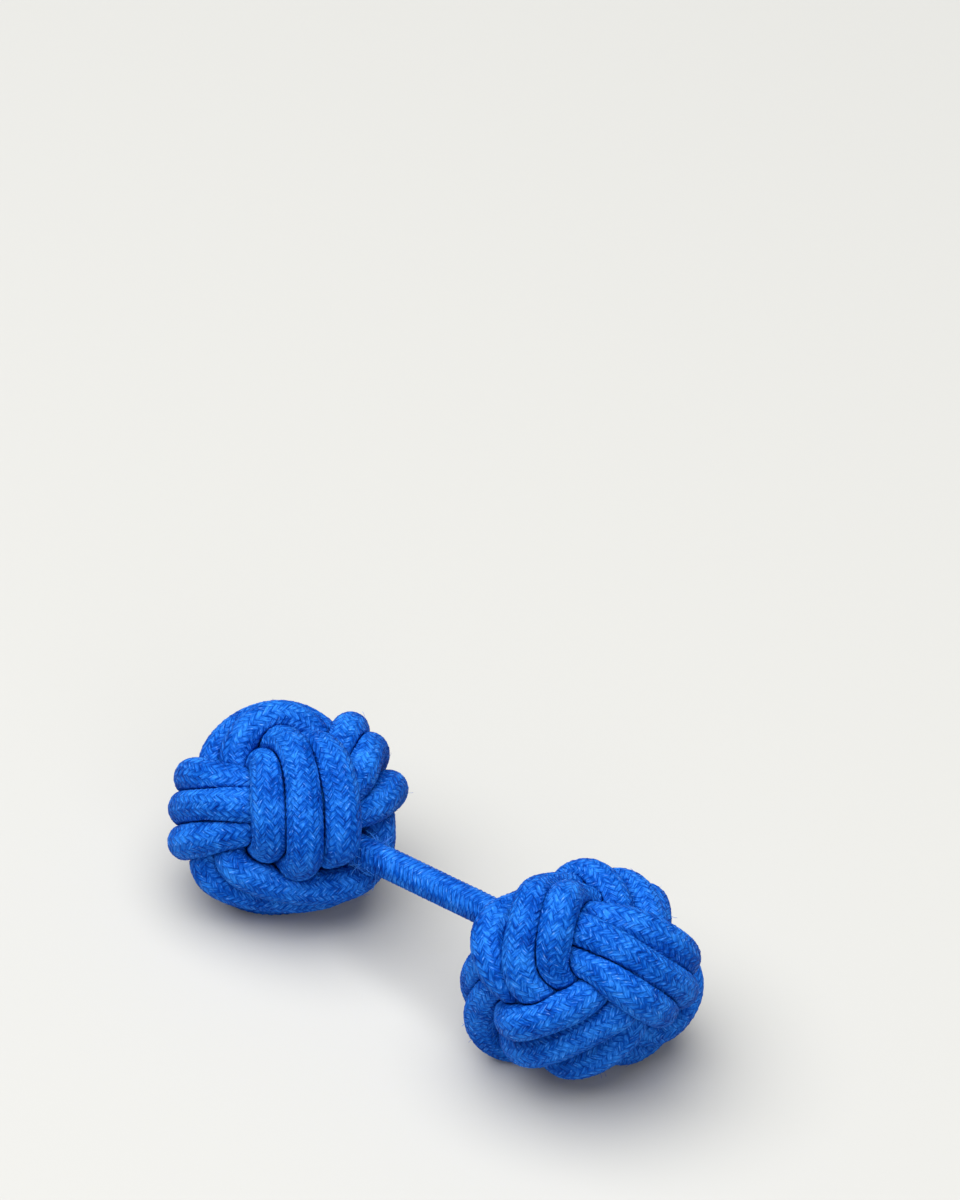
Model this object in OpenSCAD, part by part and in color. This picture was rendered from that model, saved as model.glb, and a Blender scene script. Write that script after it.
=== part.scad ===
// Silk knot cuff button: two hard little ball knots, each wound from braided
// elastic cord, joined by a short straight length of thinner cord.
// +X runs from the left knot to the right one, +Z is up, and the origin is on the
// table under the middle of the piece. Millimetres.

/* [Cord] */
// Thickness of the cord the knots are wound from
cord_d = 2.15; // [1.9:0.05:2.4]
// Thickness of the link cord between the knots
link_d = 1.85; // [1.5:0.05:2.0]

/* [Knots] */
// Distance between the middles of the two knots
knot_span = 22.8; // [22.4:0.2:27]
// How far the right knot lies behind the left one
right_aside = 0.3; // [0:0.1:0.6]
// Gap kept between neighbouring passes of cord
lay_gap = 0.24; // [0.16:0.02:0.30]
// How far the lowest turns are pressed flat by the table
rest_press = 0.25; // [0.15:0.05:0.35]

/* [Fineness] */
// Sides of the wound cord
cord_sides = 10; // [8:1:12]
// Cross sections along one turn of the cord
turn_steps = 40; // [32:2:40]

/* [Hidden] */

// A ball knot has three bands of three turns, each band square to the other two.
// Numbers for the lay of a turn are in cord thicknesses. The long way of a turn
// shows on the outside of the ball, its short way passes under the next band.
middle_long = [2.40, 0.05];
middle_short = [1.78, 0.11];
outer_long = [2.32, -0.01];
outer_short = [1.25, 0.09];
turn_pitch = [0.68, 0.20];

// The cord steps over to its next turn while it is hidden under another band.
step_at = 270;
step_half = 22;
first_angle = step_at - 360 + step_half;
last_angle = step_at + 720 - step_half;

// How each knot lies, and how tying has pulled it out of a true ball:
// [turned by, stretch along and across, sideways pull, endways pull]
left_lay = [
    [-24, -75, 35],
    [[0.01, -0.01, -0.01], [-0.01, 0.03, -0.03], [-0.01, -0.03, 0.09]],
    [0.10, -0.10, 0, -0.64, 0.10, 0.09],
    [0.50, -0.07, 0.02, 0.06, -0.08, 0.04]
];
right_lay = [
    [35, -37, 145],
    [[0.22, 0.10, 0], [0.10, 0.05, -0.05], [0, -0.05, 0.09]],
    [-0.06, -0.05, 0.26, -0.05, -0.20, 0.05],
    [0.07, 0, -0.06, 0, -0.64, -0.13]
];
// Turn that brings both knots down on to the table
set_turn = [53.5, -2.7, 42];

// Where tying and handling have pushed the cord of each knot, as [place, push] from the
// middle of that knot. A push fades away over this distance from its place.
push_reach = 3.2;
left_pushes = [
    [[-0.5, -3, -3], [-0.9, -0.6, -0.1]],
    [[3, -4, -2.5], [-1, -0.5, 0.9]],
    [[2.5, -1, 1], [0.5, 0.2, 0.3]],
    [[3.5, 1.5, 1], [1.7, 1.9, 0.2]],
    [[-1.5, -5, 1.5], [1.1, 0.4, 0.6]],
    [[4.5, -0.5, 2], [0.7, -2.1, -0.8]],
    [[3.5, 3.5, 2.5], [-1.4, -0.5, 0.6]],
    [[-3.5, -0.5, 3], [-0.1, -0.9, -0.3]],
    [[2.5, 0.5, 4.5], [0.3, 0.2, 0.7]]
];
right_pushes = [
    [[3.5, -2.5, -2.5], [0, 0.7, 0.4]],
    [[-0.5, -5, -1], [0.9, -0.6, 1.1]],
    [[3.5, -3.5, -0.5], [0.3, 1.1, 1.2]],
    [[-0.5, -3, 1.5], [-0.6, -0.4, 0.6]],
    [[-3, -4.5, 2.5], [0.4, -0.7, -0.1]],
    [[-3, 0.5, 2.5], [0, 0.6, 0.5]],
    [[3.5, 3, 3], [0.9, 0.1, -0.5]],
    [[4.5, -1.5, 3], [0.2, -0.8, 0.2]],
    [[-2.5, -1, 4.5], [0.1, -0.7, -0.2]],
    [[2, 0.5, 4.5], [-0.1, 0.2, 0.8]],
    [[-2, -3.5, 5], [0.7, 1.2, 1.1]]
];

// Where the link leaves each knot, from the middle of that knot
left_exit = [5.7, 0.3, -0.1];
right_exit = [-5.1, -0.5, 1.6];
link_tuck = 4.6;
link_clear = (link_d + cord_d) / 2;

// Lay of the cord

function eased(t) = let(u = max(0, min(1, t))) u * u * (3 - 2 * u);

function mixed(p, q, m) = p + (q - p) * m;

function turn_no(a) =
    -1 + eased((a - step_at) / (2 * step_half) + 0.5)
    + eased((a - step_at - 360) / (2 * step_half) + 0.5);

function laid(band, a) =
    let(
        j = turn_no(a),
        lw = mixed(middle_long, outer_long, j * j),
        sw = mixed(middle_short, outer_short, j * j),
        u = lw[0] * cos(a) + lw[1] * cos(3 * a),
        v = sw[0] * sin(a) + sw[1] * sin(3 * a),
        n = j * (turn_pitch[0] + turn_pitch[1] * cos(2 * a))
    )
    band == 0 ? [u, v, n] : band == 1 ? [n, u, v] : [v, n, u];

function turning(r) =
    [[cos(r[2]), -sin(r[2]), 0], [sin(r[2]), cos(r[2]), 0], [0, 0, 1]]
    * [[cos(r[1]), 0, sin(r[1])], [0, 1, 0], [-sin(r[1]), 0, cos(r[1])]]
    * [[1, 0, 0], [0, cos(r[0]), -sin(r[0])], [0, sin(r[0]), cos(r[0])]];

function pulled(p, lay, turn) =
    let(
        q = turn * (p + lay[1] * p),
        b = [q.x * q.x, q.y * q.y, q.z * q.z, q.x * q.y, q.x * q.z, q.y * q.z] / 6.25
    )
    q + [lay[2] * b, lay[3] * b, 0];

function pushed(p, pushes) =
    p + [for (q = pushes) exp(-((p - q[0]) * (p - q[0])) / (push_reach * push_reach))]
    * [for (q = pushes) q[1]];

// Cord near the link is pushed aside by it, as round a peg.
function spread(p, from, dir) =
    let(
        c = from + max(0, (p - from) * dir) * dir,
        r = norm(p - c)
    )
    c + (p - c) * pow(pow(r, 3) + pow(link_clear, 3), 1 / 3) / r;

// One band as [angle, point] all along its three turns, from the middle of its knot
function band_route(band, lay, pushes, from, dir, steps) =
    let(
        turn = turning(lay[0]),
        down = turning(set_turn),
        count = round((last_angle - first_angle) / 360 * steps)
    )
    [for (i = [0 : count])
        let(
            a = first_angle + (last_angle - first_angle) * i / count,
            p = down * pulled(laid(band, a), lay, turn) * cord_d
        )
        [a, spread(pushed(p, pushes), from, dir)]];

function knot_routes(lay, pushes, from, dir, steps) =
    [for (band = [0 : 2]) band_route(band, lay, pushes, from, dir, steps)];

// Way of the link
link_run = [knot_span, right_aside, 0] + right_exit - left_exit;
link_dir = link_run / norm(link_run);
left_from = left_exit - link_tuck * link_dir;
right_from = right_exit + link_tuck * link_dir;

fine_steps = 90;
left_fine = knot_routes(left_lay, left_pushes, left_from, link_dir, fine_steps);
right_fine = knot_routes(right_lay, right_pushes, right_from, -link_dir, fine_steps);

function lowest(routes) = min([for (r = routes) for (s = r) s[1].z]);
function span_of(routes, i) =
    let(v = [for (r = routes) for (s = r) s[1][i]]) [min(v) - cord_d / 2, max(v) + cord_d / 2];

left_z = cord_d / 2 - rest_press - lowest(left_fine);
right_z = cord_d / 2 - rest_press - lowest(right_fine);

// The origin is brought under the middle of the outline.
x_ends = [span_of(left_fine, 0)[0] - knot_span / 2, span_of(right_fine, 0)[1] + knot_span / 2];
y_ends = [
    min(span_of(left_fine, 1)[0], span_of(right_fine, 1)[0] + right_aside),
    max(span_of(left_fine, 1)[1], span_of(right_fine, 1)[1] + right_aside)
];
shift = [-(x_ends[0] + x_ends[1]) / 2, -(y_ends[0] + y_ends[1]) / 2, 0];
left_mid = shift + [-knot_span / 2, 0, left_z];
right_mid = shift + [knot_span / 2, right_aside, right_z];

link_start = left_mid + left_from;
link_end = right_mid + right_from;

// Reach of the cord from its middle c in direction n: its own half thickness, less
// where it is pressed flat against another pass or against the link.
function reach(c, n, beside, peg) =
    let(
        flats = [for (q = beside) let(k = n * q) if (k > 0.05) (q * q) / (2 * k) - lay_gap / 2],
        k = n * peg / norm(peg),
        by_peg = k > 0.05 ? [(norm(peg) - link_d / 2 - lay_gap / 2) / k] : []
    )
    min(concat([cord_d / 2], flats, by_peg));

function ring(i, route, band, fine, from, dir) =
    let(
        n = len(route) - 1,
        a = route[i][0],
        c = route[i][1],
        ahead = route[min(i + 1, n)][1] - route[max(i - 1, 0)][1],
        t = ahead / norm(ahead),
        s0 = cross(t, c),
        side = s0 / norm(s0),
        out = cross(side, t),
        beside = [for (b = [0 : 2]) for (f = fine[b])
            if (norm(f[1] - c) < 1.2 * cord_d && (b != band || abs(f[0] - a) > 110)) f[1] - c],
        peg = from + max(0, (c - from) * dir) * dir - c,
        end = (i == 0 || i == n) ? 0.7 : 1
    )
    [for (m = [0 : cord_sides - 1])
        let(
            w = 360 * (m + 0.5) / cord_sides,
            d = cos(w) * side + sin(w) * out
        )
        c + d * end * reach(c, d, beside, peg)];

function on_table(p) = [p.x, p.y, max(0, p.z)];

module wound_band(band, lay, pushes, fine, from, dir, mid) {
    route = band_route(band, lay, pushes, from, dir, turn_steps);
    n = len(route);
    pts = [for (i = [0 : n - 1]) for (p = ring(i, route, band, fine, from, dir)) on_table(p + mid)];
    k = cord_sides;
    skin = [for (i = [0 : n - 2]) for (m = [0 : k - 1])
        let(a = i * k + m, b = i * k + (m + 1) % k)
        each [[a, b, b + k], [a, b + k, a + k]]];
    caps = [[for (m = [k - 1 : -1 : 0]) m], [for (m = [0 : k - 1]) (n - 1) * k + m]];
    polyhedron(points = pts, faces = concat(skin, caps), convexity = 12);
}

module left_knot() {
    color([0.10, 0.36, 0.86])
    for (band = [0 : 2])
        wound_band(band, left_lay, left_pushes, left_fine, left_from, link_dir, left_mid);
}

module right_knot() {
    color([0.10, 0.36, 0.86])
    for (band = [0 : 2])
        wound_band(band, right_lay, right_pushes, right_fine, right_from, -link_dir, right_mid);
}

module link_cord() {
    run = link_end - link_start;
    long = norm(run);
    r = link_d / 2;
    color([0.09, 0.32, 0.78])
    translate(link_start)
    rotate([0, acos(run.z / long), atan2(run.y, run.x)])
    rotate_extrude($fn = 48) {
        translate([0, r]) square([r, long - 2 * r]);
        intersection() {
            translate([0, r]) circle(r, $fn = 48);
            square([r, r]);
        }
        intersection() {
            translate([0, long - r]) circle(r, $fn = 48);
            translate([0, long - r]) square([r, r]);
        }
    }
}

left_knot();
right_knot();
link_cord();
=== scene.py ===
# %% [markdown]
# # A silk knot cuff button
#
# Two hard little balls of braided cord sit at the ends of a short link. Each ball is
# a three pass knot: three bands of three turns, every band square to the other two,
# so that each one runs over its neighbour and under the next. The cord has a core of
# rubber threads and a tight cover of silky yarn, braided round it in two directions.
#
# The lesson builds the knots from the rule of the winding, presses each pass flat
# where it meets its neighbours, and lets Geometry Nodes raise the braid on it.

# %% Load the frame
from math import cos, radians, sin, tau

import bpy
import numpy as np
from mathutils import Matrix, Vector


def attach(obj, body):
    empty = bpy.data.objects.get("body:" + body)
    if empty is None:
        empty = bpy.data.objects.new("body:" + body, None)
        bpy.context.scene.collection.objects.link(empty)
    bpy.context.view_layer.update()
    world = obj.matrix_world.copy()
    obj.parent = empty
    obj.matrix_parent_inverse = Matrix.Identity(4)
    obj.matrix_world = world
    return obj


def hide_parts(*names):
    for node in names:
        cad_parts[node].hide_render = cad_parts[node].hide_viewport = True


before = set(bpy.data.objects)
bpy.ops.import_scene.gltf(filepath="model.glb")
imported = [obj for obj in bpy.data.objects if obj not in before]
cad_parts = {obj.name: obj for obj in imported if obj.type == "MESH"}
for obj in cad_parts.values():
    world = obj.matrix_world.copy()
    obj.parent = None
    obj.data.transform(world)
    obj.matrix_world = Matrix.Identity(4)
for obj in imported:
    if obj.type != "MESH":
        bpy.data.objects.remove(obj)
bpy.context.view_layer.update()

# %% [markdown]
# ## Sizes
#
# Blender works in metres here, so each size is a number of millimetres times `MM`. They
# are the sizes of the plain solids, so the finer cords lie where the plain ones do.

# %% Sizes
MM = 0.001
CORD_D = 2.15 * MM
LINK_D = 1.85 * MM
KNOT_SPAN = 22.8 * MM
RIGHT_ASIDE = 0.3 * MM
REST_PRESS = 0.25 * MM
print("cord and link, mm:", round(CORD_D / MM, 2), round(LINK_D / MM, 2))

# %% [markdown]
# ## One band
#
# A ball knot is told by how one turn of its cord lies, in cord thicknesses: long where
# it shows on the outside, short where it passes under the next band, and a pitch from
# turn to turn. The second number of each pair makes the turn squarer or rounder.
#
# The angle `a` runs on through all three turns of a band. The turn number eases from
# -1 to 0 to 1 where the cord is hidden under another band, as a winder steps across.

# %% One band
MIDDLE_LONG, MIDDLE_SHORT = (2.40, 0.05), (1.78, 0.11)
OUTER_LONG, OUTER_SHORT = (2.32, -0.01), (1.25, 0.09)
TURN_PITCH = (0.68, 0.20)
STEP_AT, STEP_HALF = 270, 22
FIRST_ANGLE = STEP_AT - 360 + STEP_HALF
LAST_ANGLE = STEP_AT + 720 - STEP_HALF


def eased(t):
    u = np.clip(t, 0, 1)
    return u * u * (3 - 2 * u)


def turn_number(a):
    steps = [eased((a - STEP_AT - 360 * n) / (2 * STEP_HALF) + 0.5) for n in (0, 1)]
    return steps[0] + steps[1] - 1


def laid(band, a):
    """Points of one band of a true ball, in cord thicknesses."""
    r, j = np.radians(a), turn_number(a)
    long_way = [m + (o - m) * j * j for m, o in zip(MIDDLE_LONG, OUTER_LONG)]
    short_way = [m + (o - m) * j * j for m, o in zip(MIDDLE_SHORT, OUTER_SHORT)]
    u = long_way[0] * np.cos(r) + long_way[1] * np.cos(3 * r)
    v = short_way[0] * np.sin(r) + short_way[1] * np.sin(3 * r)
    n = j * (TURN_PITCH[0] + TURN_PITCH[1] * np.cos(2 * r))
    return np.stack([(u, v, n), (n, u, v), (v, n, u)][band], -1)


print("degrees of cord in a band:", LAST_ANGLE - FIRST_ANGLE)

# %% [markdown]
# ## Pulled tight
#
# No knot is tied evenly. The whole ball is stretched along and across, turned the way
# it lies, and bent a little out of true by the pull of tying. Both knots are set down
# on the table by one more turn, which they share.

# %% Pull
LEFT_LAY = {
    "turned": (-24, -75, 35),
    "stretch": ((0.01, -0.01, -0.01), (-0.01, 0.03, -0.03), (-0.01, -0.03, 0.09)),
    "pull_x": (0.10, -0.10, 0, -0.64, 0.10, 0.09),
    "pull_y": (0.50, -0.07, 0.02, 0.06, -0.08, 0.04),
}
RIGHT_LAY = {
    "turned": (35, -37, 145),
    "stretch": ((0.22, 0.10, 0), (0.10, 0.05, -0.05), (0, -0.05, 0.09)),
    "pull_x": (-0.06, -0.05, 0.26, -0.05, -0.20, 0.05),
    "pull_y": (0.07, 0, -0.06, 0, -0.64, -0.13),
}
PULL_FELT_AT = 2.5
SET_TURN = (53.5, -2.7, 42)


def turning(degrees):
    x, y, z = [radians(d) for d in degrees]
    about_z, about_y = Matrix.Rotation(z, 3, "Z"), Matrix.Rotation(y, 3, "Y")
    return np.array(about_z @ about_y @ Matrix.Rotation(x, 3, "X"))


def pulled(p, lay):
    """The true ball p, stretched, turned and pulled as one real knot is."""
    q = (p + p @ np.array(lay["stretch"]).T) @ turning(lay["turned"]).T
    x, y, z = q.T
    bend = np.stack([x * x, y * y, z * z, x * y, x * z, y * z], 1) / PULL_FELT_AT**2
    aside = [bend @ np.array(lay["pull_x"]), bend @ np.array(lay["pull_y"]), 0 * x]
    return q + np.stack(aside, 1)


print("turn that sets both knots down, degrees:", SET_TURN)

# %% [markdown]
# ## Pushed about
#
# Fingers dress a knot by pushing single passes over. Each push is a place, from the
# middle of its knot, and a move, both in millimetres. It fades with distance, so the
# passes near it stay in order. That is shorter than a list of the points of each pass.

# %% Pushes
PUSH_REACH = 3.2 * MM
LEFT_PUSHES = (
    ((-0.5, -3, -3), (-0.9, -0.6, -0.1)),
    ((3, -4, -2.5), (-1, -0.5, 0.9)),
    ((2.5, -1, 1), (0.5, 0.2, 0.3)),
    ((3.5, 1.5, 1), (1.7, 1.9, 0.2)),
    ((-1.5, -5, 1.5), (1.1, 0.4, 0.6)),
    ((4.5, -0.5, 2), (0.7, -2.1, -0.8)),
    ((3.5, 3.5, 2.5), (-1.4, -0.5, 0.6)),
    ((-3.5, -0.5, 3), (-0.1, -0.9, -0.3)),
    ((2.5, 0.5, 4.5), (0.3, 0.2, 0.7)),
)
RIGHT_PUSHES = (
    ((3.5, -2.5, -2.5), (0, 0.7, 0.4)),
    ((-0.5, -5, -1), (0.9, -0.6, 1.1)),
    ((3.5, -3.5, -0.5), (0.3, 1.1, 1.2)),
    ((-0.5, -3, 1.5), (-0.6, -0.4, 0.6)),
    ((-3, -4.5, 2.5), (0.4, -0.7, -0.1)),
    ((-3, 0.5, 2.5), (0, 0.6, 0.5)),
    ((3.5, 3, 3), (0.9, 0.1, -0.5)),
    ((4.5, -1.5, 3), (0.2, -0.8, 0.2)),
    ((-2.5, -1, 4.5), (0.1, -0.7, -0.2)),
    ((2, 0.5, 4.5), (-0.1, 0.2, 0.8)),
    ((-2, -3.5, 5), (0.7, 1.2, 1.1)),
)


def pushed(p, pushes):
    """Each push moves the cord round its place, less and less with distance."""
    places, moves = np.array(pushes).transpose(1, 0, 2) * MM
    apart = ((p[:, None] - places) ** 2).sum(2)
    return p + np.exp(-apart / PUSH_REACH**2) @ moves


print("pushes on the left and the right knot:", len(LEFT_PUSHES), len(RIGHT_PUSHES))

# %% [markdown]
# ## Round the link
#
# The link runs straight from inside one ball to inside the other. The cord beside it
# is pushed aside as round a peg, so the way of the link is settled before the cords.

# %% Way of the link
LEFT_EXIT = np.array((5.7, 0.3, -0.1)) * MM
RIGHT_EXIT = np.array((-5.1, -0.5, 1.6)) * MM
LINK_TUCK = 4.6 * MM
LINK_CLEAR = (LINK_D + CORD_D) / 2

link_run = np.array((KNOT_SPAN, RIGHT_ASIDE, 0)) + RIGHT_EXIT - LEFT_EXIT
link_way = link_run / np.linalg.norm(link_run)


def nearest_on_link(p, start, way):
    return start + np.maximum(0, (p - start) @ way)[:, None] * way


def spread(p, start, way):
    """Cord near the link is pushed aside by it, as round a peg."""
    c = nearest_on_link(p, start, way)
    r = np.linalg.norm(p - c, axis=1)[:, None]
    return c + (p - c) * np.cbrt(r**3 + LINK_CLEAR**3) / r


print("link from exit to exit, mm:", round(np.linalg.norm(link_run) / MM, 1))

# %% [markdown]
# ## The routes
#
# Now each knot's own facts meet the shared rule. The fine routes are worked out once,
# because every cross section will ask them how near its neighbours lie.

# %% Routes
KNOTS = {
    "left_knot": {"lay": LEFT_LAY, "pushes": LEFT_PUSHES, "aside": 0,
                  "start": LEFT_EXIT - LINK_TUCK * link_way, "way": link_way},
    "right_knot": {"lay": RIGHT_LAY, "pushes": RIGHT_PUSHES, "aside": RIGHT_ASIDE,
                   "start": RIGHT_EXIT + LINK_TUCK * link_way, "way": -link_way},
}
BANDS = range(3)
FINE_STEPS = 120


def route(knot, band, angles):
    """The middle line of a band, from the middle of its knot."""
    p = pulled(laid(band, angles), knot["lay"]) @ turning(SET_TURN).T * CORD_D
    return spread(pushed(p, knot["pushes"]), knot["start"], knot["way"])


def along_route(points):
    return np.concatenate([[0], np.cumsum(np.linalg.norm(np.diff(points, axis=0), axis=1))])


fine_count = round((LAST_ANGLE - FIRST_ANGLE) / 360 * FINE_STEPS) + 1
fine_angles = np.linspace(FIRST_ANGLE, LAST_ANGLE, fine_count)
for name, knot in KNOTS.items():
    knot["fine"] = [route(knot, band, fine_angles) for band in BANDS]
    print(name, "cord, mm:", [round(along_route(points)[-1] / MM, 1) for points in knot["fine"]])

# %% [markdown]
# The two balls lie on the table, and the origin is under the middle of the whole
# outline, so each ball's place follows from its own lowest and outermost points.

# %% Place of the knots
def span_of(name, axis):
    values = np.concatenate([p[:, axis] for p in KNOTS[name]["fine"]])
    if axis == 1:
        values = values + KNOTS[name]["aside"]
    return values.min() - CORD_D / 2, values.max() + CORD_D / 2


ends_x = (span_of("left_knot", 0)[0] - KNOT_SPAN / 2, span_of("right_knot", 0)[1] + KNOT_SPAN / 2)
ends_y = [pick(span_of(name, 1)[side] for name in KNOTS) for side, pick in ((0, min), (1, max))]
for name, side in (("left_knot", -1), ("right_knot", 1)):
    x = side * KNOT_SPAN / 2 - sum(ends_x) / 2
    z = -span_of(name, 2)[0] - REST_PRESS
    KNOTS[name]["middle"] = np.array((x, KNOTS[name]["aside"] - sum(ends_y) / 2, z))
    print(name, "middle, mm:", (KNOTS[name]["middle"] / MM).round(2))

link_start = KNOTS["left_knot"]["middle"] + KNOTS["left_knot"]["start"]
link_end = KNOTS["right_knot"]["middle"] + KNOTS["right_knot"]["start"]

# %% [markdown]
# ## The camera
#
# The camera looks down on the button from the front right with a long lens, tilted by
# a few degrees. One cord thickness is 37 pixels wide in the picture, which gives the
# size of a pixel at the button, and so the lens.

# %% Camera
CAMERA_AZIMUTH, CAMERA_ELEVATION, CAMERA_ROLL = 40.0, 36.45, 3.4
CAMERA_DISTANCE = 0.42
PICTURE_WIDTH, PICTURE_HEIGHT = 960, 1200
LEFT_KNOT_AT = (282.0, 806.5)
PIXEL = CORD_D / 37

azimuth, elevation = radians(CAMERA_AZIMUTH), radians(CAMERA_ELEVATION)
back = Vector((sin(azimuth) * cos(elevation), -cos(azimuth) * cos(elevation), sin(elevation)))
camera_turn = back.to_track_quat("Z", "Y").to_matrix() @ Matrix.Rotation(radians(CAMERA_ROLL), 3, "Z")
right, up = camera_turn.col[0], camera_turn.col[1]
aim = Vector(KNOTS["left_knot"]["middle"])
aim += right * (PICTURE_WIDTH / 2 - LEFT_KNOT_AT[0]) * PIXEL
aim += up * (LEFT_KNOT_AT[1] - PICTURE_HEIGHT / 2) * PIXEL

camera_data = bpy.data.cameras.new("camera")
camera_data.sensor_width = 36
camera_data.lens = camera_data.sensor_width * CAMERA_DISTANCE / (PICTURE_HEIGHT * PIXEL)
camera_data.clip_start, camera_data.clip_end = 0.01, 10
camera = bpy.data.objects.new("camera", camera_data)
camera.matrix_world = Matrix.Translation(aim + back * CAMERA_DISTANCE) @ camera_turn.to_4x4()
bpy.context.scene.collection.objects.link(camera)
bpy.context.scene.camera = camera
print("lens, mm:", round(camera_data.lens), "right:", [round(v, 4) for v in right])

# %% [markdown]
# ## Sums on sockets
#
# A node tree for maths is hard to read as a picture and easy to read as a formula. So
# `Wire` wraps an output socket, and `+ - * /` on it add Math nodes. The same class
# serves the materials and the Geometry Nodes, since both know the Math node.

# %% Wires
def add_node(tree, kind, settings=None, inputs=None):
    """A new node: its settings are set first, then the values or links of its sockets."""
    node = tree.nodes.new(kind)
    for key, value in (settings or {}).items():
        if key == "stops":
            for n, (place, colour) in enumerate(value):
                stop = node.color_ramp.elements[n] if n < 2 else node.color_ramp.elements.new(place)
                stop.position, stop.color = place, (*colour, 1)
        else:
            setattr(node, key, value)
    for key, value in (inputs or {}).items():
        if isinstance(value, Wire):
            tree.links.new(value.socket, node.inputs[key])
        else:
            node.inputs[key].default_value = value
    return node


class Wire:
    """One output socket. An expression on wires adds the Math nodes that work it out."""

    def __init__(self, node, output=0):
        self.node = node
        self.socket = node.outputs[output]
        self.tree = node.id_data

    def math(self, operation, *values):
        inputs = dict(enumerate(values))
        return Wire(add_node(self.tree, "ShaderNodeMath", {"operation": operation}, inputs))

    def __add__(self, other):
        return self.math("ADD", self, other)

    def __sub__(self, other):
        return self.math("SUBTRACT", self, other)

    def __rsub__(self, other):
        return self.math("SUBTRACT", other, self)

    def __mul__(self, other):
        return self.math("MULTIPLY", self, other)

    def __truediv__(self, other):
        return self.math("DIVIDE", self, other)

    def __mod__(self, other):
        return self.math("FLOORED_MODULO", self, other)

    def __pow__(self, other):
        return self.math("POWER", self, other)

    def __lt__(self, other):
        return self.math("LESS_THAN", self, other)

    def __gt__(self, other):
        return self.math("GREATER_THAN", self, other)

    def floor(self):
        return self.math("FLOOR", self)

    def angle(self, across):
        return self.math("ARCTAN2", self, across)

    def clamped(self):
        return self.math("MINIMUM", self.math("MAXIMUM", self, 0), 1)

    __radd__ = __add__
    __rmul__ = __mul__


def mixed(choice, one, other):
    """one where choice is 1, other where it is 0."""
    return other + (one - other) * choice


def split(vector):
    node = add_node(vector.tree, "ShaderNodeSeparateXYZ", inputs={0: vector})
    return [Wire(node, n) for n in range(3)]


def joined(x, y, z):
    return Wire(add_node(x.tree, "ShaderNodeCombineXYZ", inputs={0: x, 1: y, 2: z}))


def noise(place, scale, detail, output=0):
    inputs = {"Vector": place, "Scale": scale, "Detail": detail}
    return Wire(add_node(place.tree, "ShaderNodeTexNoise", inputs=inputs), output)


print("methods of a wire:", sum(callable(value) for value in vars(Wire).values()))

# %% [markdown]
# ## The braid as a rule
#
# A tubular braid has yarns that climb to the right and yarns that climb to the left.
# Number the right hand ones by `p` and the left hand ones by `q`: a point of the cover
# lies on yarn `floor(p)` of one family and on yarn `floor(q)` of the other. Each yarn
# floats over two and dives under two, and the one on top is told by the sum of the two
# numbers, modulo four. Seen along the cord this gives columns of little slanted
# stitches that lean to the right and to the left by turns.
#
# Every point of a cord carries the attribute `lay`: the cosine and sine of its place
# round the cord, and its way along it. Angles stored so have no seam. A slow noise lets
# the yarns wander a little from their places, because no braid is dead even.

# %% The braid
WANDER, WANDER_SCALE = 0.7, 0.55
UNDER_AND_OVER = 4


def braid(lay, yarns, stitch):
    """What a braid of so many yarns each way shows at one point of a cord's cover."""
    cosine, sine, distance = split(lay)
    turns = sine.angle(cosine) * (1 / tau) * yarns
    along = distance / stitch
    wander = split(noise(joined(cosine * 3, sine * 3, along), WANDER_SCALE, 2.0, output=1))
    p = turns + along + (wander[0] - 0.5) * WANDER
    q = turns - along + (wander[1] - 0.5) * WANDER
    i, j = p.floor(), q.floor()
    leans_right = ((i + j) % UNDER_AND_OVER) < 1.5
    across = mixed(leans_right, p - i, q - j)
    afloat = mixed(leans_right, (q + i) % UNDER_AND_OVER, (p + j + 2) % UNDER_AND_OVER) / 2
    height = (1 - (across * 2 - 1) ** 2).clamped() ** 0.5 * (1 - 0.6 * (afloat * 2 - 1) ** 2)
    return {"height": height, "across": across, "yarn": mixed(leans_right, i, j),
            "crosswise": mixed(leans_right, p, q), "lengthwise": mixed(leans_right, q, p)}


# %% [markdown]
# ## Geometry Nodes: the cover of a cord
#
# The smooth cord is divided once more, and each point is moved out along its normal by
# the height of the braid. The inputs are the sizes of the braid, so the thick cord
# of the knots and the thin one of the link use the same tree.

# %% Cover tree
def new_tree(name, sizes):
    tree = bpy.data.node_groups.new(name, "GeometryNodeTree")
    tree.interface.new_socket("Geometry", in_out="INPUT", socket_type="NodeSocketGeometry")
    tree.interface.new_socket("Geometry", in_out="OUTPUT", socket_type="NodeSocketGeometry")
    for label, kind in sizes.items():
        tree.interface.new_socket(label, in_out="INPUT", socket_type=kind)
    return tree, tree.nodes.new("NodeGroupInput"), tree.nodes.new("NodeGroupOutput")


def chain(tree, geometry, *steps):
    """Sends a geometry through one node after another."""
    for kind, settings, inputs in steps:
        node = add_node(tree, kind, settings, inputs)
        tree.links.new(geometry.socket, node.inputs[0])
        geometry = Wire(node)
    return geometry


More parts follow.
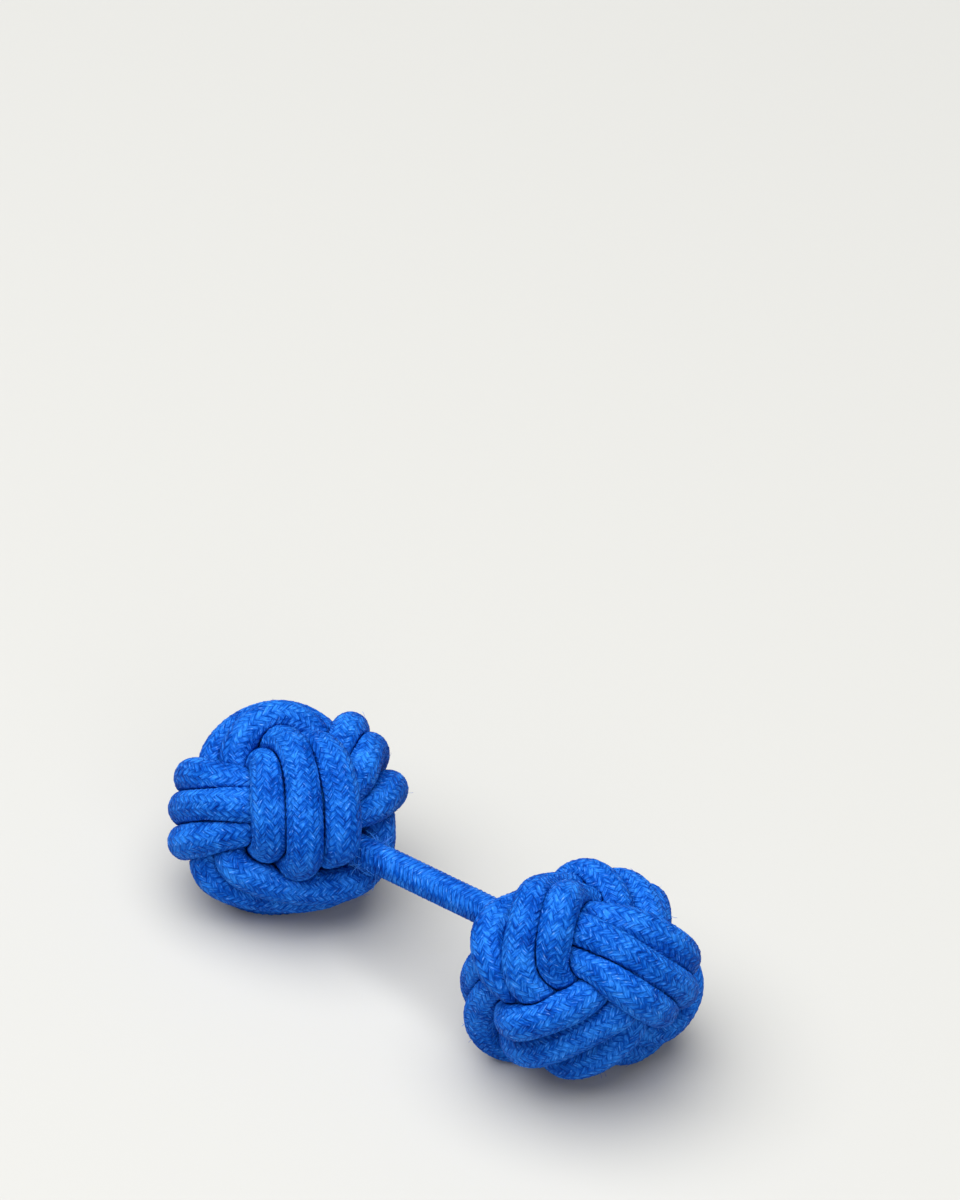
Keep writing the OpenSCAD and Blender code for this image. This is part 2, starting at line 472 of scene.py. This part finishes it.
def cover_tree():
    sizes = {"Yarns Each Way": "NodeSocketFloat", "Stitch": "NodeSocketFloat",
             "Relief": "NodeSocketFloat", "Material": "NodeSocketMaterial"}
    tree, entry, leave = new_tree("braided cover", sizes)
    lay = Wire(add_node(tree, "GeometryNodeInputNamedAttribute", {"data_type": "FLOAT_VECTOR"}, {0: "lay"}))
    height = braid(lay, Wire(entry, "Yarns Each Way"), Wire(entry, "Stitch"))["height"]
    lift = (height - 0.5) * Wire(entry, "Relief")
    normal = Wire(add_node(tree, "GeometryNodeInputNormal"))
    move = Wire(add_node(tree, "ShaderNodeVectorMath", {"operation": "SCALE"}, {0: normal, "Scale": lift}))
    covered = chain(
        tree, Wire(entry, "Geometry"),
        ("GeometryNodeSubdivisionSurface", {}, {"Level": 1}),
        ("GeometryNodeSetPosition", {}, {"Offset": move}),
        ("GeometryNodeSetShadeSmooth", {}, {}),
        ("GeometryNodeRealizeInstances", {}, {}),
        ("GeometryNodeSetMaterial", {}, {"Material": Wire(entry, "Material")}),
    )
    tree.links.new(covered.socket, leave.inputs["Geometry"])
    return tree


cover = cover_tree()
print("nodes in the cover tree:", len(cover.nodes))

# %% [markdown]
# A tree works on an object through a modifier. Its inputs are set by their identifiers,
# the result is taken as a plain mesh, and the object that it grew from is removed
# together with the modifier.

# %% Grown pieces
def grown(name, base, tree, values):
    """The plain mesh that a tree makes of base, with values set on its named inputs."""
    modifier = base.modifiers.new("grow", "NODES")
    modifier.node_group = tree
    identifiers = {s.name: s.identifier for s in tree.interface.items_tree if s.in_out == "INPUT"}
    for label, value in values.items():
        modifier[identifiers[label]] = value
    evaluated = base.evaluated_get(bpy.context.evaluated_depsgraph_get())
    mesh = bpy.data.meshes.new_from_object(evaluated)
    bpy.data.objects.remove(base)
    made = bpy.data.objects.new(name, mesh)
    mesh.name = name
    bpy.context.scene.collection.objects.link(made)
    print(name, "faces:", len(mesh.polygons))
    return made


# %% [markdown]
# ## Silk
#
# The yarn is bright blue rayon, two plies to a stitch. Its filaments run with the yarn,
# and its colour differs at random along them and in slow patches. Painted into the
# colour are shade, darker in the hollows between the stitches and the plies, and pale
# specks, a painted highlight where a few filaments would catch the light on the tops of
# the stitches. Its gloss is low, because so many filaments scatter the light. The
# material reads the same `lay` as the relief, so colour and form agree, while slow
# patches and the finest grain read Object coordinates.

# %% Silk material
KNOT_YARNS, KNOT_STITCH, KNOT_RELIEF = 16.0, 0.40 * MM, 0.07 * MM
LINK_YARNS, LINK_STITCH, LINK_RELIEF = 8.0, 0.35 * MM, 0.06 * MM
PLIES = 2
PATCHES_PER_METRE, GRAINS_PER_METRE = 900.0, 8000.0
# The ramp from the deep through the mid to the pale blue carries the yarn's random differences of colour
# together with painted shade, darker in the hollows between stitches and plies.
DEEP_BLUE, MID_BLUE = (0.0001, 0.008, 0.14), (0.0006, 0.072, 0.45)
# The glint blue is a painted highlight.
PALE_BLUE, PAINTED_GLINT = (0.028, 0.25, 0.88), (0.40, 0.60, 0.96)
BUMP_DEPTH = 0.08 * MM


def yarn_noise(cover, crosswise, lengthwise, yarn, detail):
    """Noise stretched along the yarn, and other on every yarn."""
    place = joined(cover["crosswise"] * crosswise, cover["lengthwise"] * lengthwise, cover["yarn"] * yarn)
    return noise(place, 1.0, detail)


def silk(name, yarns, stitch):
    material = bpy.data.materials.new(name)
    material.use_nodes = True
    tree = material.node_tree
    shader = tree.nodes["Principled BSDF"]
    lay = Wire(add_node(tree, "ShaderNodeAttribute", {"attribute_name": "lay"}), "Vector")
    cover = braid(lay, yarns, stitch)
    place = Wire(add_node(tree, "ShaderNodeTexCoord"), "Object")
    patches = noise(place, PATCHES_PER_METRE, 2.0)
    grain = noise(place, GRAINS_PER_METRE, 3.0)
    fibres = yarn_noise(cover, 5, 1.1, 7.3, 3.0)
    streaks = yarn_noise(cover, 2.2, 0.9, 3.7, 1.0)
    plies = 1 - ((cover["across"] * PLIES) % 1 * 2 - 1) ** 2
    height = cover["height"]
    # Random differences of the yarn's colour, plus painted shade: the height and plies terms darken the
    # hollows between the stitches and the plies.
    tone_and_shade = (0.29 + height * 0.28 + plies * 0.12 + (fibres - 0.5) * 0.9
            + (patches - 0.5) * 0.9 + (streaks - 0.5) * 0.8)
    colour = add_node(tree, "ShaderNodeValToRGB", {"stops": [
        (0.0, DEEP_BLUE), (1.0, PALE_BLUE), (0.45, MID_BLUE)]}, {"Fac": tone_and_shade})
    # Painted highlight: pale glint specks on the tops of the stitches and plies.
    painted_glints = ((fibres - 0.61) * 6).clamped() * plies * height * 0.55
    colour = add_node(tree, "ShaderNodeMix", {"data_type": "RGBA"}, {
        0: painted_glints, 6: Wire(colour), 7: (*PAINTED_GLINT, 1)})
    roughness = 0.66 - height * 0.12 + (fibres - 0.5) * 0.2
    bumps = height * 0.5 + plies * height * 0.2 + fibres * 0.7 + grain * 0.5
    bump = add_node(tree, "ShaderNodeBump", {}, {"Strength": 0.8, "Distance": BUMP_DEPTH, "Height": bumps})
    tree.links.new(colour.outputs[2], shader.inputs["Base Color"])
    tree.links.new(bump.outputs[0], shader.inputs["Normal"])
    tree.links.new(roughness.socket, shader.inputs["Roughness"])
    shader.inputs["Specular IOR Level"].default_value = 0.04
    return material


knot_silk = silk("knot silk", KNOT_YARNS, KNOT_STITCH)
link_silk = silk("link silk", LINK_YARNS, LINK_STITCH)
print("nodes in the knot silk:", len(knot_silk.node_tree.nodes))

# %% [markdown]
# ## Cross sections
#
# A cord is soft, so where two passes meet, both give way up to the plane halfway
# between them. In direction `n` the cord reaches out to its own half thickness, or
# to the nearest such plane. That one rule turns nine tubes into a tight ball. Soft body
# simulation could press them too, but it is slow and its result is hard to steer.
#
# The gap left between passes is narrower than in the plain solids, whose flat faces
# need more room.

# %% Cross sections
LAY_GAP = 0.10 * MM
NEAR_BY = 1.2 * CORD_D
OWN_REACH = 110
LEAST_FACING = 0.05
FAR = 1.0


def reach(c, n, beside, peg):
    """How far the cord with its middle at c reaches in each direction of n."""
    to_peg = np.linalg.norm(peg)
    toward = n @ beside.T
    halfway = (beside * beside).sum(1) / (2 * np.maximum(toward, 1e-9))
    flats = np.where(toward > LEAST_FACING * CORD_D, halfway, FAR)
    towards_peg = n @ (peg / to_peg)
    peg_skin = (to_peg - LINK_D / 2) / np.maximum(towards_peg, 1e-9)
    by_peg = np.where(towards_peg > LEAST_FACING, peg_skin, FAR)
    pressed = np.minimum(flats.min(1) if len(beside) else FAR, by_peg) - LAY_GAP / 2
    return np.minimum(CORD_D / 2, pressed)


def neighbours(knot, band, a, c):
    """From c to each point of the other passes that are near enough to press on it."""
    found = []
    for other, points in enumerate(knot["fine"]):
        near = np.linalg.norm(points - c, axis=1) < NEAR_BY
        if other == band:
            near &= np.abs(fine_angles - a) > OWN_REACH
        found.append(points[near] - c)
    return np.concatenate(found)


def peg_from(knot, c):
    """From c to the nearest point of the link's middle line."""
    return nearest_on_link(c[None], knot["start"], knot["way"])[0] - c


print("gap between passes, mm:", round(LAY_GAP / MM, 2))

# %% [markdown]
# ## Rings where they show
#
# Part of a ball knot's cord is hidden under the other bands. There the rings of points
# stand wider apart, which saves some faces. The same goes round the cord: its outer arc
# has most of the points.

# %% Rings along a band
RING_EVERY, HIDDEN_EVERY = 0.15 * MM, 0.40 * MM
SHOWN_SHARE = 0.9
BLUR = 9
BLUR_GAIN = 3


def ring_angles(knot, band):
    """Angles of the cross sections: close together where the cord shows, wide apart inside."""
    points = knot["fine"][band]
    shows = []
    for a, c in zip(fine_angles, points):
        outward = (c / np.linalg.norm(c))[None]
        shown = reach(c, outward, neighbours(knot, band, a, c), peg_from(knot, c))[0]
        shows.append(shown > SHOWN_SHARE * CORD_D / 2)
    shows = np.convolve(np.array(shows, float), np.ones(BLUR) / BLUR, "same")
    every = HIDDEN_EVERY + (RING_EVERY - HIDDEN_EVERY) * np.clip(shows * BLUR_GAIN, 0, 1)
    steps = np.linalg.norm(np.diff(points, axis=0), axis=1) / ((every[1:] + every[:-1]) / 2)
    count = np.concatenate([[0], np.cumsum(steps)])
    return np.interp(np.linspace(0, count[-1], round(count[-1]) + 1), count, fine_angles)


OUTER_SIDES, INNER_SIDES = 22, 6
OUTER_ARC = 200
outer_angles = 90 + np.linspace(-OUTER_ARC / 2, OUTER_ARC / 2, OUTER_SIDES)
inner_angles = 270 + np.linspace(OUTER_ARC / 2 - 180, 180 - OUTER_ARC / 2, INNER_SIDES + 2)[1:-1]
round_cord = np.radians(np.concatenate([outer_angles, inner_angles]))
print("points round the cord:", len(round_cord))

# %% [markdown]
# ## From rings to a cord
#
# A tube is joined up from its rings by plain arithmetic on point numbers, and each
# point is told its `lay`. Two helpers give the directions of a ring's points and the
# frame square to the cord's way, for the wound cords and for the straight link alike.

# %% Tubes
def square_to(way, facing):
    """Two unit directions square to way: one to the side, and one facing outwards."""
    side = np.cross(way, facing)
    side /= np.linalg.norm(side)
    out = np.cross(side, way)
    return side, out / np.linalg.norm(out)


def ring_directions(angles, side, out):
    return np.cos(angles)[:, None] * side + np.sin(angles)[:, None] * out


def lay_of(angles, along):
    """The attribute lay of rings at the distances along, with points at the angles."""
    lay = np.empty((len(along), len(angles), 3))
    lay[:, :, 0] = np.cos(angles)
    lay[:, :, 1] = np.sin(angles)
    lay[:, :, 2] = along[:, None]
    return lay


def tube(name, rings, lay):
    """A closed tube through rings of points, with the attribute lay on every point."""
    rows, sides = rings.shape[:2]
    i, m = np.meshgrid(np.arange(rows - 1), np.arange(sides), indexing="ij")
    a, b = (i * sides + m).ravel(), (i * sides + (m + 1) % sides).ravel()
    faces = np.stack([a, b, b + sides, a + sides], 1).tolist()
    faces += [list(range(sides))[::-1], [(rows - 1) * sides + m for m in range(sides)]]
    mesh = bpy.data.meshes.new(name)
    mesh.from_pydata(rings.reshape(-1, 3).tolist(), [], faces)
    attribute = mesh.attributes.new("lay", "FLOAT_VECTOR", "POINT")
    attribute.data.foreach_set("vector", lay.reshape(-1).astype(np.float32))
    base = bpy.data.objects.new(name, mesh)
    bpy.context.scene.collection.objects.link(base)
    return base


# %% [markdown]
# ## The knots
#
# Each knot is three separate cords here, one for each band, so that every piece stays
# light. All three stand for the knot's one solid. The lowest turns are flattened by
# the table, and each end narrows a little inside the ball, where it is held.

# %% Knots
END_SIZE = 0.7


def band_base(name, knot, band):
    angles = ring_angles(knot, band)
    points = route(knot, band, angles)
    rings = []
    for a, c, t in zip(angles, points, np.gradient(points, axis=0)):
        n = ring_directions(round_cord, *square_to(t, c))
        sizes = reach(c, n, neighbours(knot, band, a, c), peg_from(knot, c))
        rings.append(c + n * sizes[:, None])
    rings = np.array(rings)
    for end in (0, -1):
        rings[end] = points[end] + (rings[end] - points[end]) * END_SIZE
    rings += knot["middle"]
    rings[:, :, 2] = np.maximum(rings[:, :, 2], 0)
    return tube(name, rings, lay_of(round_cord, along_route(points)))


knot_cover = {"Yarns Each Way": KNOT_YARNS, "Stitch": KNOT_STITCH, "Relief": KNOT_RELIEF,
              "Material": knot_silk}
for name, knot in KNOTS.items():
    for band in BANDS:
        piece_name = f"{name}_band_{band + 1}"
        piece = grown(piece_name, band_base(piece_name, knot, band), cover, knot_cover)
        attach(piece, "root")
        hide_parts(name)

# %% [markdown]
# ## The link
#
# The link is a thinner cord of the same make. It has half as many yarns, each as wide,
# so its stitches look like slanted ribs. Its rings stand on a straight line, and their
# radius follows a circle at both ends. The right ball lies with its middle a little
# higher than the left one's, so the line is drawn from end to end of the link itself.

# %% Link
LINK_SIDES, LINK_EVERY = 32, 0.12 * MM
UPWARDS = (0, 0, 1)
LEAST_END = 0.02


def sleeve(name, way, along, radius, sides):
    """A straight tube from the link's start, with a ring at each distance along the way."""
    angles = np.arange(sides) * tau / sides
    n = ring_directions(angles, *square_to(way, UPWARDS))
    rings = link_start + along[:, None, None] * way + n * radius[:, None, None]
    return tube(name, rings, lay_of(angles, along))


def link_base(name):
    run = link_end - link_start
    length = np.linalg.norm(run)
    along = np.linspace(0, length, round(length / LINK_EVERY) + 1)
    from_end = np.minimum(along, length - along) / (LINK_D / 2)
    radius = LINK_D / 2 * np.sqrt(1 - (1 - np.clip(from_end, LEAST_END, 1)) ** 2)
    return sleeve(name, run / length, along, radius, LINK_SIDES)


link_cover = {"Yarns Each Way": LINK_YARNS, "Stitch": LINK_STITCH, "Relief": LINK_RELIEF,
              "Material": link_silk}
link = grown("link_cord_braid", link_base("link_cord_braid"), cover, link_cover)
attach(link, "root")
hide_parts("link_cord")

# %% [markdown]
# ## Loose filaments
#
# Where the link comes out of the left knot its cover has frayed, and a fan of single
# filaments stands off it. A few more stand off the knots. Each is one short bent curve
# with three sides. Hair would do as well, but the export keeps only meshes, so Geometry
# Nodes set the curves on the cord at random, turned mostly the way of the link.

# %% Filament tree
CLEAR_OF_TABLE = 1.0 * MM


def filament_shape(tree, thickness, length):
    """One filament, one unit long, that bends a little to the side."""
    curve = Wire(add_node(tree, "GeometryNodeCurveQuadraticBezier", {}, {
        "Resolution": 3, "Start": (0, 0, 0), "Middle": (0.28, 0, 0.5), "End": (0, 0, 1)}))
    section = Wire(add_node(tree, "GeometryNodeCurvePrimitiveCircle", {}, {
        "Resolution": 3, "Radius": thickness / length * 0.5}))
    return chain(tree, curve, ("GeometryNodeCurveToMesh", {}, {"Profile Curve": section, "Fill Caps": True}))


def filament_tree():
    sizes = {"Per Square Millimetre": "NodeSocketFloat", "Length": "NodeSocketFloat",
             "Thickness": "NodeSocketFloat", "Way": "NodeSocketVector", "Lift": "NodeSocketFloat",
             "Scatter": "NodeSocketFloat", "Seed": "NodeSocketInt", "Material": "NodeSocketMaterial"}
    tree, entry, leave = new_tree("loose filaments", sizes)
    wanted = {label: Wire(entry, label) for label in ("Geometry", *sizes)}

    def vector_math(operation, one, other):
        key = "Scale" if operation == "SCALE" else 1
        return Wire(add_node(tree, "ShaderNodeVectorMath", {"operation": operation}, {0: one, key: other}))

    filament = filament_shape(tree, wanted["Thickness"], wanted["Length"])
    position = Wire(add_node(tree, "GeometryNodeInputPosition"))
    points = add_node(tree, "GeometryNodeDistributePointsOnFaces", {}, {
        "Mesh": wanted["Geometry"], "Selection": split(position)[2] > CLEAR_OF_TABLE,
        "Density": wanted["Per Square Millimetre"] / MM**2, "Seed": wanted["Seed"]})
    scatter = Wire(add_node(tree, "FunctionNodeRandomValue", {"data_type": "FLOAT_VECTOR"}, {
        "Min": (-1, -1, -1), "Max": (1, 1, 1), "Seed": wanted["Seed"] + 1}))
    away = vector_math("SCALE", Wire(points, "Normal"), wanted["Lift"])
    astray = vector_math("SCALE", scatter, wanted["Scatter"])
    aimed = vector_math("ADD", vector_math("ADD", wanted["Way"], away), astray)
    turned = Wire(add_node(tree, "FunctionNodeAlignRotationToVector", {"axis": "Z"}, {"Vector": aimed}))
    size = add_node(tree, "FunctionNodeRandomValue", {"data_type": "FLOAT"}, {"Seed": wanted["Seed"] + 2})
    scale = (Wire(size, 1) * 0.9 + 0.5) * wanted["Length"]
    grown_out = chain(
        tree, Wire(points),
        ("GeometryNodeInstanceOnPoints", {}, {"Instance": filament, "Rotation": turned, "Scale": scale}),
        ("GeometryNodeRealizeInstances", {}, {}),
        ("GeometryNodeSetMaterial", {}, {"Material": wanted["Material"]}),
    )
    tree.links.new(grown_out.socket, leave.inputs["Geometry"])
    return tree


filaments = filament_tree()
print("nodes in the filament tree:", len(filaments.nodes))

# %% [markdown]
# A single filament is too thin to show a weave, so one pale blue does for the fan at
# the link. The same plain maker of materials serves the table later. The fuzz on the
# knots has the silk of the cord that it stands on.

# %% Plain material
def plain_material(name, colour, roughness):
    material = bpy.data.materials.new(name)
    material.use_nodes = True
    shader = material.node_tree.nodes["Principled BSDF"]
    shader.inputs["Base Color"].default_value = (*colour, 1)
    shader.inputs["Roughness"].default_value = roughness
    return material


filament_silk = plain_material("loose filament", PALE_BLUE, 0.5)
print("material:", filament_silk.name)

# %% [markdown]
# The fan grows from a short sleeve just under the skin of the link, and the fuzz of the
# knots from the smooth cords. Both bases are gone once the filaments are made.

# %% Loose filaments
FRAY = {"Per Square Millimetre": 45.0, "Length": 1.0 * MM, "Thickness": 0.032 * MM,
        "Lift": 0.7, "Scatter": 0.75, "Seed": 4}
FRAY_FROM, FRAY_TO = LINK_TUCK - 0.5 * MM, LINK_TUCK + 1.2 * MM
FRAY_RINGS, FRAY_SIDES = 4, 12
FRAY_ROOT = LINK_D / 2 - 0.03 * MM
FUZZ = {"Per Square Millimetre": 1.3, "Length": 0.34 * MM, "Thickness": 0.018 * MM,
        "Lift": 0.7, "Scatter": 1.0}
FUZZ_SEED = 11


def fray_base(name):
    along = np.linspace(FRAY_FROM, FRAY_TO, FRAY_RINGS)
    return sleeve(name, link_way, along, np.full(FRAY_RINGS, FRAY_ROOT), FRAY_SIDES)


fray_values = FRAY | {"Way": Vector(link_way), "Material": filament_silk}
fray = grown("link_fray", fray_base("link_fray"), filaments, fray_values)
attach(fray, "root")
for name, knot in KNOTS.items():
    for band in BANDS:
        fuzz_name = f"{name}_fuzz_{band + 1}"
        values = FUZZ | {"Way": Vector((0, 0, 0)), "Seed": FUZZ_SEED + 3 * band, "Material": knot_silk}
        fuzz = grown(fuzz_name, band_base(fuzz_name, knot, band), filaments, values)
        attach(fuzz, "root")

# %% [markdown]
# ## Table and light
#
# The button lies on a plain pale table, which is stage and not a piece of the button.
# A wide soft lamp hangs nearly overhead and a weaker one fills in from the front right,
# so the shadows stay soft. The room itself gives a little even light.

# %% Table
TABLE_SIZE = 6
TABLE_COLOUR = (0.532, 0.530, 0.510)

bpy.ops.mesh.primitive_plane_add(size=TABLE_SIZE)
table = bpy.context.object
table.name = "table"
table.data.materials.append(plain_material("pale table", TABLE_COLOUR, 0.9))
print("table, m:", TABLE_SIZE)

# %% Light
ROOM_COLOUR, ROOM_STRENGTH = (1, 1, 0.97, 1), 0.18


def soft_light(name, place, size, power):
    data = bpy.data.lights.new(name, "AREA")
    data.shape, data.size, data.energy = "DISK", size, power
    lamp = bpy.data.objects.new(name, data)
    lamp.location = place
    lamp.rotation_euler = (-Vector(place)).to_track_quat("-Z", "Y").to_euler()
    bpy.context.scene.collection.objects.link(lamp)
    print(name, "watts:", power)


soft_light("key light", (-0.05, -0.12, 0.60), 0.9, 8.0)
soft_light("fill light", (0.5, -0.35, 0.35), 0.5, 1.2)
world = bpy.data.worlds.new("pale room")
world.use_nodes = True
world.node_tree.nodes["Background"].inputs["Color"].default_value = ROOM_COLOUR
world.node_tree.nodes["Background"].inputs["Strength"].default_value = ROOM_STRENGTH
bpy.context.scene.world = world

bpy.context.scene.view_settings.view_transform = "Standard"

# %% [markdown]
# The finished button has to fill the same box as the plain solids.
